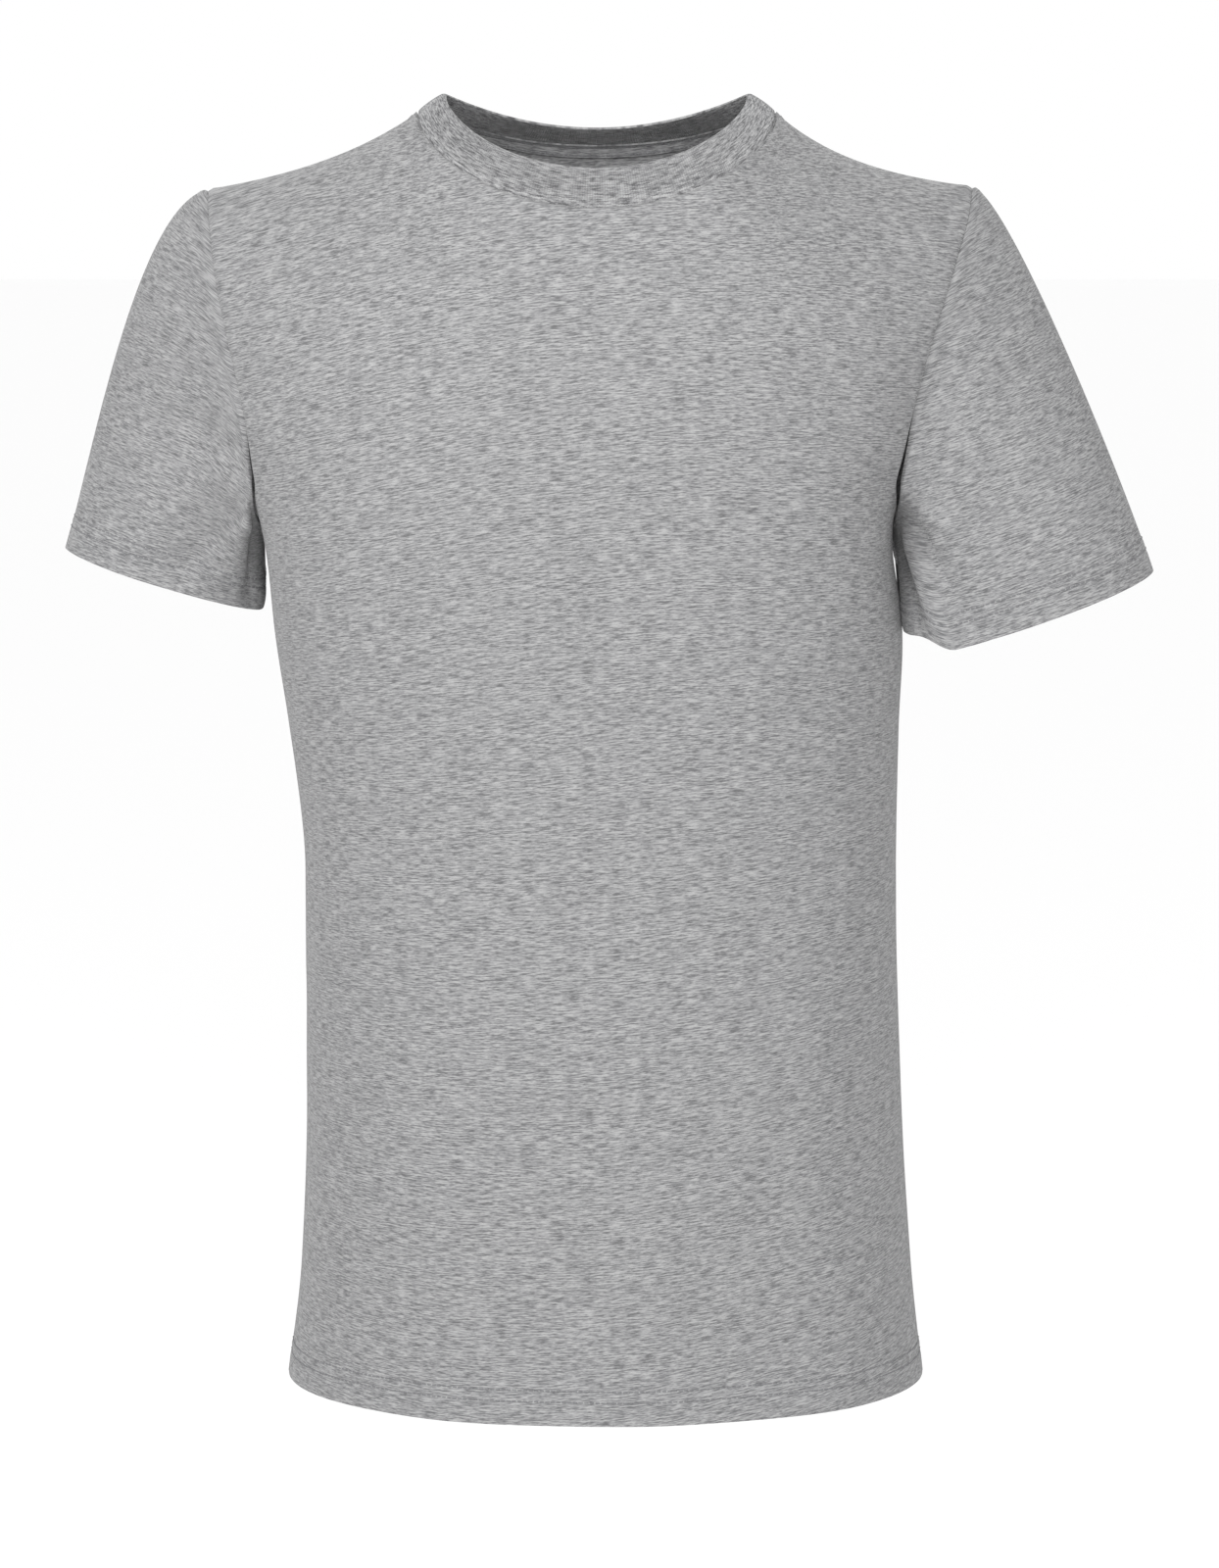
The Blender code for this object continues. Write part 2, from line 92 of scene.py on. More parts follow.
# How deep and how wide the cloth dips beside a seam.
NECK_DIP = (0.0022, 0.0015)
SIDE_DIP = (0.0009, 0.0016)
SHOULDER_DIP = (0.0006, 0.0016)
ARMHOLE_DIP = (0.0016, 0.0016)
FLOOR_LEVEL = -1.45


def table(columns, *rows):
    """A dictionary of arrays, one for each named column."""
    return dict(zip(columns.split(), np.array(rows, float).T))


BODY = table(
    "level   right   left   front   back   side    squareness",
    (-0.700, 0.1715, 0.1830, 0.130, 0.116, 0.004, 2.1),
    (-0.637, 0.1648, 0.1758, 0.127, 0.112, 0.004, 2.2),
    (-0.537, 0.1612, 0.1690, 0.122, 0.106, 0.004, 2.3),
    (-0.417, 0.1612, 0.1655, 0.118, 0.104, 0.004, 2.4),
    (-0.337, 0.1692, 0.1665, 0.121, 0.110, 0.004, 2.5),
    (-0.277, 0.1792, 0.1695, 0.125, 0.115, 0.005, 2.6),
    (-0.225, 0.1880, 0.1660, 0.127, 0.118, 0.006, 2.7),
    (-0.187, 0.1990, 0.1780, 0.127, 0.119, 0.006, 2.6),
    (-0.147, 0.2130, 0.1930, 0.124, 0.119, 0.006, 2.4),
    (-0.107, 0.2290, 0.2130, 0.115, 0.114, 0.007, 2.3),
    (-0.072, 0.2430, 0.2320, 0.103, 0.107, 0.009, 2.1),
    (-0.039, 0.2560, 0.2480, 0.089, 0.097, 0.010, 2.0),
    (0.003, 0.2560, 0.2480, 0.072, 0.080, 0.010, 2.0),
)

ARMHOLE = table(
    "level   right   left",
    (-0.219, 0.1830, 0.1600),
    (-0.202, 0.1860, 0.1630),
    (-0.162, 0.1900, 0.1700),
    (-0.117, 0.1990, 0.1810),
    (-0.082, 0.2060, 0.1920),
    (-0.057, 0.2095, 0.2000),
    (-0.039, 0.2115, 0.2040),
)

CUFF = {
    "right": dict(
        middle=(-0.2400, 0.030, -0.2565), half_wide=0.0570, half_deep=0.046, lean=17.0, dip=1.0, turn=0.0,
        lift=0.000,
    ),
    "left": dict(
        middle=(0.2362, -0.030, -0.2700), half_wide=0.0720, half_deep=0.041, lean=18.0, dip=1.0, turn=10.0,
        lift=0.012,
    ),
}

SLEEVE_RUN = {
    "right": dict(leaves=(0.120, 0.040), reaches=(0.150, 0.040), under=(0.45, 0.10, -0.90)),
    "left": dict(leaves=(0.060, 0.040), reaches=(0.130, 0.040), under=(0.60, -0.25, -0.75)),
}

# Creases of the body: from one point to another, across (towards the wearer's left) and level; how
# high they stand, negative for a trough; and how wide they are.
BODY_CREASES = {
    "front": table(
        "x0      z0      x1      z1      high     wide",
        (-0.172, -0.215, -0.120, -0.150, -0.0016, 0.012),
        (-0.170, -0.235, -0.105, -0.190, 0.0014, 0.013),
        (0.158, -0.205, 0.118, -0.130, -0.0018, 0.012),
        (0.160, -0.232, 0.100, -0.185, 0.0012, 0.014),
        (0.150, -0.290, 0.080, -0.345, -0.0010, 0.020),
        (-0.150, -0.330, -0.090, -0.420, -0.0010, 0.022),
        (0.155, -0.410, 0.060, -0.470, 0.0010, 0.022),
        (-0.155, -0.470, -0.070, -0.520, -0.0009, 0.024),
        (0.160, -0.560, 0.060, -0.600, -0.0011, 0.022),
        (-0.130, -0.690, -0.120, -0.560, 0.0012, 0.022),
        (0.100, -0.698, 0.085, -0.580, -0.0016, 0.020),
        (0.140, -0.698, 0.130, -0.600, 0.0014, 0.017),
        (0.020, -0.698, 0.020, -0.560, 0.0008, 0.030),
    ),
    "back": table(
        "x0      z0      x1      z1      high     wide",
        (-0.165, -0.210, -0.090, -0.120, -0.0018, 0.014),
        (0.150, -0.205, 0.085, -0.115, -0.0018, 0.014),
        (-0.150, -0.250, -0.060, -0.260, 0.0012, 0.018),
        (0.150, -0.260, 0.050, -0.275, 0.0012, 0.018),
        (-0.120, -0.380, 0.040, -0.420, -0.0016, 0.018),
        (0.130, -0.420, 0.000, -0.455, 0.0016, 0.018),
        (-0.110, -0.460, 0.050, -0.490, 0.0012, 0.020),
        (0.120, -0.500, -0.020, -0.530, -0.0014, 0.020),
        (-0.090, -0.695, -0.080, -0.590, 0.0014, 0.020),
        (0.070, -0.695, 0.080, -0.600, -0.0014, 0.020),
    ),
}

# Creases of the sleeves: from one place to another, as an angle round the sleeve in degrees (0 on
# the shoulder, 90 in front, 180 under the arm, 270 behind) and a share of the way down.
SLEEVE_CREASES = {
    "right": table(
        "turn0 down0 turn1 down1 high     wide",
        (66, 0.98, 128, 0.10, 0.0022, 7),
        (96, 0.98, 140, 0.14, -0.0040, 7),
        (62, 0.55, 126, 0.05, -0.0034, 7),
        (118, 0.60, 150, 0.12, 0.0030, 7),
        (150, 0.98, 165, 0.15, -0.0035, 9),
        (205, 0.95, 200, 0.10, 0.0030, 9),
        (240, 0.90, 220, 0.10, -0.0032, 10),
        (275, 0.85, 240, 0.12, 0.0020, 12),
        (20, 0.60, 60, 0.35, -0.0008, 12),
    ),
    "left": table(
        "turn0 down0 turn1 down1 high     wide",
        (70, 0.98, 112, 0.12, -0.0012, 10),
        (100, 0.98, 128, 0.10, 0.0024, 8),
        (122, 0.98, 140, 0.10, -0.0046, 8),
        (142, 0.98, 155, 0.10, 0.0036, 8),
        (162, 0.98, 168, 0.15, -0.0032, 8),
        (205, 0.95, 200, 0.10, 0.0030, 9),
        (235, 0.90, 220, 0.10, -0.0032, 10),
        (270, 0.85, 240, 0.12, 0.0020, 12),
        (30, 0.70, 70, 0.40, 0.0008, 14),
    ),
}

# ---------------------------------------------------------------- smooth curves


def smooth(at, xs, ys):
    """ys read at `at` along a curve through (xs, ys) that never overshoots its points."""
    at = np.clip(at, xs[0], xs[-1])
    step, rise = np.diff(xs), np.diff(ys)
    slope = rise / step
    tangent = np.zeros(len(xs))
    before, after = slope[:-1], slope[1:]
    same_way = before * after > 0
    harmonic = 2 * before * after / np.where(same_way, before + after, 1)
    tangent[1:-1] = np.where(same_way, harmonic, 0)
    tangent[0], tangent[-1] = slope[0], slope[-1]
    k = np.clip(np.searchsorted(xs, at, side="right") - 1, 0, len(step) - 1)
    u = (at - xs[k]) / step[k]
    return (
        ys[k] * (1 + 2 * u) * (1 - u) ** 2
        + ys[k + 1] * u * u * (3 - 2 * u)
        + step[k] * (tangent[k] * u * (1 - u) ** 2 - tangent[k + 1] * u * u * (1 - u))
    )


def ease(share):
    share = np.clip(share, 0, 1)
    return share * share * (3 - 2 * share)


def body(column, level):
    return smooth(level, BODY["level"], BODY[column])


def shoulder_line(x):
    fall = np.where(x < 0, SHOULDER_FALL["right"], SHOULDER_FALL["left"])
    easing = np.where(x < 0, SHOULDER_EASE["right"], SHOULDER_EASE["left"])
    return -fall * (1 - np.exp((NECK_HALF - np.abs(x)) / easing))


def half_width(x, level):
    return np.where(x < 0, body("right", level), body("left", level))


def seam_angle(x, level):
    seam = np.where(
        x < 0,
        smooth(level, ARMHOLE["level"], ARMHOLE["right"]),
        smooth(level, ARMHOLE["level"], ARMHOLE["left"]),
    )
    out = np.clip(seam / half_width(x, level), 0, 1) ** (body("squareness", level) / 2)
    opened = ease((level - UNDERARM_LEVEL) / UNDERARM_TURN) ** 0.5
    return np.pi / 2 + (np.arcsin(out) - np.pi / 2) * opened


def section_x(side_share, level):
    angle = seam_angle(side_share, level) * np.abs(side_share)
    out = np.sin(angle) ** (2 / body("squareness", level))
    return np.sign(side_share) * out * half_width(side_share, level)


def form_point(x, level, face):
    wide = half_width(x, level)
    squareness = body("squareness", level)
    reach = np.clip(np.abs(x) / wide, 0, 1)
    middle = (1 - reach**squareness) ** (1 / squareness)
    side = body("side", level)
    depth = FACES[face] * body(face, level)
    ridge = SHOULDER_BACK * ease((np.abs(x) - NECK_HALF) / (0.2 - NECK_HALF))
    over = np.clip((shoulder_line(x) - level) / SHOULDER_ROUND, 0, 1)
    rounded = np.sqrt(1 - (1 - over) ** 2)
    y = ridge + (side + (depth - side) * middle - ridge) * rounded
    pit = np.exp(-(((level - UNDERARM_LEVEL) / ARM_PIT_REACH) ** 2)) * (1 - middle) ** 2
    return np.stack([x - np.sign(x) * ARM_PIT * pit, y, level], axis=-1)


def neck_edge(share, face):
    turn = np.pi / 2 * np.abs(share)
    drop = NECK_DROP[face] * np.clip(np.cos(turn), 0, 1) ** NECK_CURVE[face]
    return np.sign(share) * NECK_HALF * np.sin(turn), -drop


def top_edge(side_share, face):
    neck_share = NECK_COLUMNS / COLUMNS
    tip = np.where(side_share < 0, SHOULDER_TIP["right"], SHOULDER_TIP["left"])
    out = np.clip((np.abs(side_share) - neck_share) / (1 - neck_share), 0, 1)
    shoulder_x = np.sign(side_share) * (NECK_HALF + (tip - NECK_HALF) * out)
    neck_x, neck_level = neck_edge(np.clip(side_share / neck_share, -1, 1), face)
    in_neck = np.abs(side_share) < neck_share
    return (
        np.where(in_neck, neck_x, shoulder_x),
        np.where(in_neck, neck_level, shoulder_line(shoulder_x)),
    )


def panel(face):
    """The outer surface of the front or the back: rows from the hem up, columns from right to left."""
    side_share = np.linspace(-1, 1, COLUMNS + 1)
    top_x, top_level = top_edge(side_share, face)
    rows = []
    for level in np.linspace(HEM_LEVEL, UNDERARM_LEVEL, ROWS_BELOW_ARM + 1)[:-1]:
        levels = np.full(COLUMNS + 1, level)
        rows.append(form_point(section_x(side_share, levels), levels, face))
    shift = top_x - section_x(side_share, top_level)
    for step in range(ROWS_BESIDE_ARM + 1):
        share = step / ROWS_BESIDE_ARM
        levels = UNDERARM_LEVEL + (top_level - UNDERARM_LEVEL) * (1 - np.cos(np.pi * share)) / 2
        x = section_x(side_share, levels) + ease(share) * shift
        rows.append(form_point(x, levels, face))
    return np.array(rows)


def armhole(front, back, side):
    column = 0 if side == "right" else -1
    down = front[ROWS_BELOW_ARM:, column][::-1]
    up = back[ROWS_BELOW_ARM:, column]
    return np.concatenate([down, up[1:-1]])


def leaving_direction(front, back, side):
    edge, inner = (0, 6) if side == "right" else (-1, -7)
    runs = []
    for grid in (front, back):
        run = grid[ROWS_BELOW_ARM:, edge] - grid[ROWS_BELOW_ARM:, inner]
        runs.append(run / np.linalg.norm(run, axis=1, keepdims=True))
    return np.concatenate([runs[0][::-1], runs[1][1:-1]])


def turn_round(points, start, end):
    steps = np.linalg.norm(np.diff(points[start : end + 1], axis=0), axis=1)
    return np.concatenate([[0], np.cumsum(steps)]) / steps.sum()


def at_lengths(rows, lengths):
    """Points at these lengths along each column of a grid, for a row of lengths each."""
    steps = np.linalg.norm(np.diff(rows, axis=0), axis=2)
    run = np.concatenate([np.zeros((1, rows.shape[1])), np.cumsum(steps, axis=0)])
    found = np.empty(lengths.shape + (3,))
    for column in range(rows.shape[1]):
        for axis in range(3):
            found[:, column, axis] = np.interp(lengths[:, column], run[:, column], rows[:, column, axis])
    return found


def cuff_ring(side, turns):
    cuff = CUFF[side]
    lean, dip = math.radians(cuff["lean"]), math.radians(cuff["dip"])
    turn = math.radians(cuff["turn"])
    level_out = np.array([SIDES[side] * math.cos(turn), math.sin(turn), 0])
    level_ahead = np.array([SIDES[side] * math.sin(turn), -math.cos(turn), 0])
    upwards = np.array([0, 0, 1])
    outwards = level_out * math.cos(lean) + upwards * math.sin(lean)
    forwards = level_ahead * math.cos(dip) - upwards * math.sin(dip)
    pulled = ease((-np.cos(turns) - CORNER) / (1 - CORNER))
    fullness = (OUTER_POINT + INNER_POINT) / 2 + (OUTER_POINT - INNER_POINT) / 2 * np.cos(turns)
    ahead = np.sign(np.sin(turns)) * np.abs(np.sin(turns)) ** fullness
    return (
        np.array(cuff["middle"])
        + cuff["half_wide"] * np.outer(np.cos(turns), outwards)
        + cuff["half_deep"] * np.outer(ahead, forwards)
        + cuff["lift"] * np.outer(pulled, upwards)
    )


def sleeve(front, back, side):
    """The outer surface of a sleeve, its angles round from the shoulder and its lengths down it."""
    seam = armhole(front, back, side)
    lowest = ROWS_BESIDE_ARM
    closed = np.concatenate([seam, seam[:1]])
    turns = np.pi * np.concatenate(
        [turn_round(closed, 0, lowest), 1 + turn_round(closed, lowest, len(seam))[1:-1]]
    )
    cuff = cuff_ring(side, turns)
    under = ease((1 - np.cos(turns)) / 2)
    low = ease((under - 0.45) / 0.55)[:, None]
    below = np.array(SLEEVE_RUN[side]["under"]) * [SIDES[side], 1, 1]
    leaves = leaving_direction(front, back, side) * (1 - low) + below * low
    leaves /= np.linalg.norm(leaves, axis=1, keepdims=True)
    lean = math.radians(CUFF[side]["lean"])
    arm = np.array([SIDES[side] * math.sin(lean), 0, -math.cos(lean)])
    run = SLEEVE_RUN[side]
    leave_length = run["leaves"][0] + (run["leaves"][1] - run["leaves"][0]) * under
    reach_length = run["reaches"][0] + (run["reaches"][1] - run["reaches"][0]) * under
    fine = []
    for share in np.linspace(0, 1, FINE_ROWS):
        fine.append(
            seam * (1 + 2 * share) * (1 - share) ** 2
            + cuff * share**2 * (3 - 2 * share)
            + leaves * (leave_length * share * (1 - share) ** 2)[:, None]
            - arm * (reach_length * share**2 * (1 - share))[:, None]
        )
    fine = np.array(fine)
    long = np.linalg.norm(np.diff(fine, axis=0), axis=2).sum(axis=0)
    lengths = np.array([long * share for share in np.linspace(0, 1, SLEEVE_ROWS)])
    return at_lengths(fine, lengths), turns, lengths


def neck_ring(grids):
    first = (COLUMNS - NECK_COLUMNS) // 2
    last = first + NECK_COLUMNS
    return np.concatenate(
        [grids["front"][-1, first : last + 1], grids["back"][-1, first + 1 : last][::-1]]
    )


def rib_edge():
    points = []
    for face, shares in (
        ("front", np.linspace(-1, 1, NECK_COLUMNS + 1)),
        ("back", np.linspace(1, -1, NECK_COLUMNS + 1)[1:-1]),
    ):
        depth, drop = RIB_EDGE[face]
        turn = np.pi / 2 * shares
        points.append(
            np.stack(
                [
                    RIB_HALF * np.sin(turn),
                    FACES[face] * depth * np.cos(turn),
                    RIB_RISE - (RIB_RISE + drop) * np.clip(np.cos(turn), 0, 1) ** NECK_CURVE[face],
                ],
                axis=-1,
            )
        )
    return np.concatenate(points)


# ---------------------------------------------------------------- creases and seams in the cloth


def bump_along(across, down, start, end, wide):
    """1 along the middle of a crease, fading out across it and towards its two ends."""
    (x0, z0), (x1, z1) = start, end
    run_x, run_z = x1 - x0, z1 - z0
    long = math.hypot(run_x, run_z)
    along = ((across - x0) * run_x + (down - z0) * run_z) / long**2
    off = ((across - x0) * run_z - (down - z0) * run_x) / long
    ends = ease(along / 0.25 + 0.35) * ease((1 - along) / 0.35 + 0.2)
    return np.exp(-((off / wide) ** 2)) * ends


def body_relief(grid, face):
    """How far the cloth of a panel stands out from its form, point by point."""
    x, level = grid[..., 0], grid[..., 2]
    creases = BODY_CREASES[face]
    relief = np.zeros_like(x)
    for x0, z0, x1, z1, high, wide in zip(*creases.values()):
        relief += high * bump_along(x, level, (x0, z0), (x1, z1), wide)
    ripple = np.sin(x * 61 + 1.3 * np.sin(level * 9)) * ease((-0.52 - level) / 0.18)
    relief += 0.0009 * ripple
    above_hem = level - HEM_LEVEL
    for row in (HEM_DEPTH - 0.001, HEM_DEPTH - 0.001 - NEEDLE_GAP):
        relief -= 0.00035 * np.exp(-(((above_hem - row) / 0.0011) ** 2))
    relief += 0.0004 * ease((HEM_DEPTH + 0.0015 - above_hem) / 0.002)
    return relief


def near_seam(distance, sunk, wide):
    """Cloth drawn down into a seam at distance 0, with a slight swell beside it."""
    swell = 0.35 * sunk * np.exp(-(((distance - 2.2 * wide) / wide) ** 2))
    return swell - sunk * np.exp(-((distance / wide) ** 2))


def edge_distance(grid, edge_points):
    """Distance of each point of a grid from the nearest of a seam's points."""
    nearest = np.full(grid.shape[:2], np.inf)
    for point in edge_points:
        nearest = np.minimum(nearest, np.linalg.norm(grid - point, axis=2))
    return nearest


def sleeve_relief(turns, lengths, side):
    degrees = np.degrees(turns)[None, :] * np.ones_like(lengths)
    down = lengths / lengths[-1]
    creases = SLEEVE_CREASES[side]
    relief = np.zeros_like(lengths)
    for turn0, down0, turn1, down1, high, wide in zip(*creases.values()):
        # Degrees and shares are brought to like sizes: 100 degrees round is about a sleeve's length.
        relief += high * bump_along(degrees, down * 100, (turn0, down0 * 100), (turn1, down1 * 100), wide)
    from_hem = lengths[-1] - lengths
    for row in (HEM_DEPTH - 0.001, HEM_DEPTH - 0.001 - NEEDLE_GAP):
        relief -= 0.00045 * np.exp(-(((from_hem - row) / 0.0011) ** 2))
    relief += 0.0004 * ease((HEM_DEPTH + 0.0015 - from_hem) / 0.002)
    relief += near_seam(lengths, *ARMHOLE_DIP)
    return relief


# ---------------------------------------------------------------- from surfaces to shells


def normals_of(grid, ring):
    """Unit normals of a grid of points, pointing out of the garment."""
    down = np.gradient(grid, axis=0)
    across = (np.roll(grid, -1, 1) - np.roll(grid, 1, 1)) if ring else np.gradient(grid, axis=1)
    normal = np.cross(across, down)
    normal /= np.maximum(np.linalg.norm(normal, axis=2, keepdims=True), 1e-12)
    outwards = np.sum(normal * (grid - grid.mean(axis=(0, 1))))
    return normal * np.sign(outwards)


def shell(name, outer, inner, ring, material, knit, node):
    """A closed shell between two grids of points. knit gives each point's place in the flat cloth."""
    rows, columns = outer.shape[:2]
    vertices = np.concatenate([outer.reshape(-1, 3), inner.reshape(-1, 3)])
    under = rows * columns
    row, column = np.meshgrid(np.arange(rows - 1), np.arange(columns if ring else columns - 1), indexing="ij")
    after = (column + 1) % columns
    quads = np.stack(
        [
            row * columns + column,
            (row + 1) * columns + column,
            (row + 1) * columns + after,
            row * columns + after,
        ],
        axis=-1,
    ).reshape(-1, 4)
    beside = np.stack([row * 0 + column, column * 0 + column, column + 1, column + 1], axis=-1).reshape(-1, 4)
    lines = np.stack([row, row + 1, row + 1, row], axis=-1).reshape(-1, 4)
    faces = [quads, quads[:, ::-1] + under]
    flat_columns = [beside, beside[:, ::-1]]
    flat_rows = [lines, lines[:, ::-1]]

    def rim(edge, edge_rows, edge_columns):
        a, b = edge[:-1], edge[1:]
        faces.append(np.stack([a, b, under + b, under + a], axis=-1))
        flat_rows.append(np.stack([edge_rows[:-1], edge_rows[1:], edge_rows[1:], edge_rows[:-1]], axis=-1))
        flat_columns.append(
            np.stack([edge_columns[:-1], edge_columns[1:], edge_columns[1:], edge_columns[:-1]], axis=-1)
        )

    round_columns = np.arange(columns + 1 if ring else columns)
    first_row = round_columns % columns
    rim(first_row, round_columns * 0, round_columns)
    last_row = ((rows - 1) * columns + round_columns % columns)[::-1]
    rim(last_row, round_columns * 0 + rows - 1, round_columns[::-1])
    if not ring:
        all_rows = np.arange(rows)
        rim((all_rows * columns)[::-1], all_rows[::-1], all_rows * 0)
        rim(all_rows * columns + columns - 1, all_rows, all_rows * 0 + columns - 1)
    faces = np.concatenate(faces)
    flat_rows, flat_columns = np.concatenate(flat_rows), np.concatenate(flat_columns)
    a, b, c, d = (vertices[faces[:, k]] for k in range(4))
    volume = np.sum(np.cross(a, b) * c) + np.sum(np.cross(a, c) * d)
    if volume < 0:
        faces, flat_rows, flat_columns = faces[:, ::-1], flat_rows[:, ::-1], flat_columns[:, ::-1]
    mesh = bpy.data.meshes.new(name)
    mesh.from_pydata(vertices.tolist(), [], faces.tolist())
    uv = mesh.uv_layers.new(name="cloth")
    spread = knit[flat_rows.reshape(-1), flat_columns.reshape(-1)]
    uv.data.foreach_set("uv", spread.astype(np.float32).reshape(-1))
    mesh.update()
    mesh.shade_smooth()
    mesh.set_sharp_from_angle(angle=math.radians(60))
    mesh.materials.append(material)
    thing = bpy.data.objects.new(name, mesh)
    bpy.context.scene.collection.objects.link(thing)
    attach(thing, "root")
    if node:
        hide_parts(node)
    return thing


def cloth_lengths(grid, axis):
    """Running length along the rows or the columns of a grid."""
    steps = np.linalg.norm(np.diff(grid, axis=axis), axis=2)
    start = np.zeros_like(np.take(steps, [0], axis=axis))
    return np.concatenate([start, np.cumsum(steps, axis=axis)], axis=axis)


# ---------------------------------------------------------------- materials


def linear(code):
    """A hex sRGB colour as linear red, green, blue and alpha."""
    parts = [int(code[k : k + 2], 16) / 255 for k in (0, 2, 4)]
    return [p / 12.92 if p <= 0.04045 else ((p + 0.055) / 1.055) ** 2.4 for p in parts] + [1.0]


def add(tree, kind, settings=None, links=None):
    """A node of this kind, with its settings and what feeds its sockets."""
    node = tree.nodes.new(kind)
    for key, value in (settings or {}).items():
        if isinstance(key, str) and hasattr(node, key):
            setattr(node, key, value)
        else:
            node.inputs[key].default_value = value
    for key, source in (links or {}).items():
        tree.links.new(source, node.inputs[key])
    return node


MILLIMETRES = 1000.0


def heather_knit(name, light, dark, base, wale, course, lift):
    """Cotton yarn spun from pale and dark dyed fibre, knitted: short pale and dark streaks along the
    courses over a soft grey, with fine columns of stitches. It is matt, with a faint fuzz."""
    material = bpy.data.materials.new(name)
    material.use_nodes = True
    tree = material.node_tree
    tree.nodes.clear()
    flat = add(tree, "ShaderNodeUVMap", {"uv_map": "cloth"})
    in_mm = add(
        tree, "ShaderNodeVectorMath", {"operation": "SCALE", "Scale": MILLIMETRES}, {0: flat.outputs["UV"]}
    )

    def streaks(length, height, detail, seed):
        stretched = add(
            tree,
            "ShaderNodeMapping",
            {"Scale": (1 / length, 1 / height, 1), "Location": (seed, seed * 1.7, 0)},
            {"Vector": in_mm.outputs[0]},
        )
        return add(
            tree,
            "ShaderNodeTexNoise",
            {"noise_dimensions": "2D", "Scale": 1.0, "Detail": detail, "Roughness": 0.6},
            {"Vector": stretched.outputs[0]},
        )

    long_streaks = streaks(8.0, 0.75, 2.0, 3.1)
    short_streaks = streaks(2.8, 0.5, 1.0, 11.7)
    patches = streaks(30.0, 4.5, 2.0, 23.9)
    mixed = add(
        tree,
        "ShaderNodeMath",
        {"operation": "MULTIPLY_ADD", 1: 0.45},
        {0: short_streaks.outputs[0], 2: long_streaks.outputs[0]},
    )
    blended = add(
        tree,
        "ShaderNodeMath",
        {"operation": "MULTIPLY_ADD", 1: 0.22},
        {0: patches.outputs[0], 2: mixed.outputs[0]},
    )
    tone = add(
        tree,
        "ShaderNodeMapRange",
        {"From Min": 0.58, "From Max": 1.08, "To Min": 0.0, "To Max": 1.0},
        {"Value": blended.outputs[0]},
    )
    ramp = add(tree, "ShaderNodeValToRGB", {}, {"Fac": tone.outputs[0]})
    ramp.color_ramp.elements[0].position = 0.10
    ramp.color_ramp.elements[0].color = linear(dark)
    ramp.color_ramp.elements[1].position = 0.90
    ramp.color_ramp.elements[1].color = linear(light)
    middle = ramp.color_ramp.elements.new(0.48)
    middle.color = linear(base)

    parts = add(tree, "ShaderNodeSeparateXYZ", {}, {0: in_mm.outputs[0]})
    wales = add(
        tree, "ShaderNodeMath", {"operation": "MULTIPLY", 1: 2 * math.pi / wale}, {0: parts.outputs["X"]}
    )
    courses = add(
        tree, "ShaderNodeMath", {"operation": "MULTIPLY", 1: 2 * math.pi / course}, {0: parts.outputs["Y"]}
    )
    wale_wave = add(tree, "ShaderNodeMath", {"operation": "SINE"}, {0: wales.outputs[0]})
    course_wave = add(tree, "ShaderNodeMath", {"operation": "SINE"}, {0: courses.outputs[0]})
    loops = add(
        tree,
        "ShaderNodeMath",
        {"operation": "MULTIPLY"},
        {0: wale_wave.outputs[0], 1: course_wave.outputs[0]},
    )
    height = add(
        tree,
        "ShaderNodeMath",
        {"operation": "MULTIPLY_ADD", 1: 0.25},
        {0: loops.outputs[0], 2: blended.outputs[0]},
    )
    bump = add(
        tree,
        "ShaderNodeBump",
        {"Strength": 0.35, "Distance": lift},
        {"Height": height.outputs[0]},
    )
    shader = add(
        tree,
        "ShaderNodeBsdfPrincipled",
        {
            "Roughness": 0.92,
            "Metallic": 0.0,
            "Specular IOR Level": 0.15,
            "Sheen Weight": 0.12,
            "Sheen Roughness": 0.5,
        },
        {"Base Color": ramp.outputs["Color"], "Normal": bump.outputs["Normal"]},
    )
    add(tree, "ShaderNodeOutputMaterial", {}, {"Surface": shader.outputs[0]})
    return material


def spun_thread():
    """Spun polyester sewing thread: a plain grey a touch darker than the cloth, with little shine."""
    material = bpy.data.materials.new("spun_polyester_thread")
    material.use_nodes = True
    shader = material.node_tree.nodes["Principled BSDF"]
    shader.inputs["Base Color"].default_value = linear("626264")
    shader.inputs["Roughness"].default_value = 0.7
    shader.inputs["Specular IOR Level"].default_value = 0.3
    return material


# ---------------------------------------------------------------- stitches


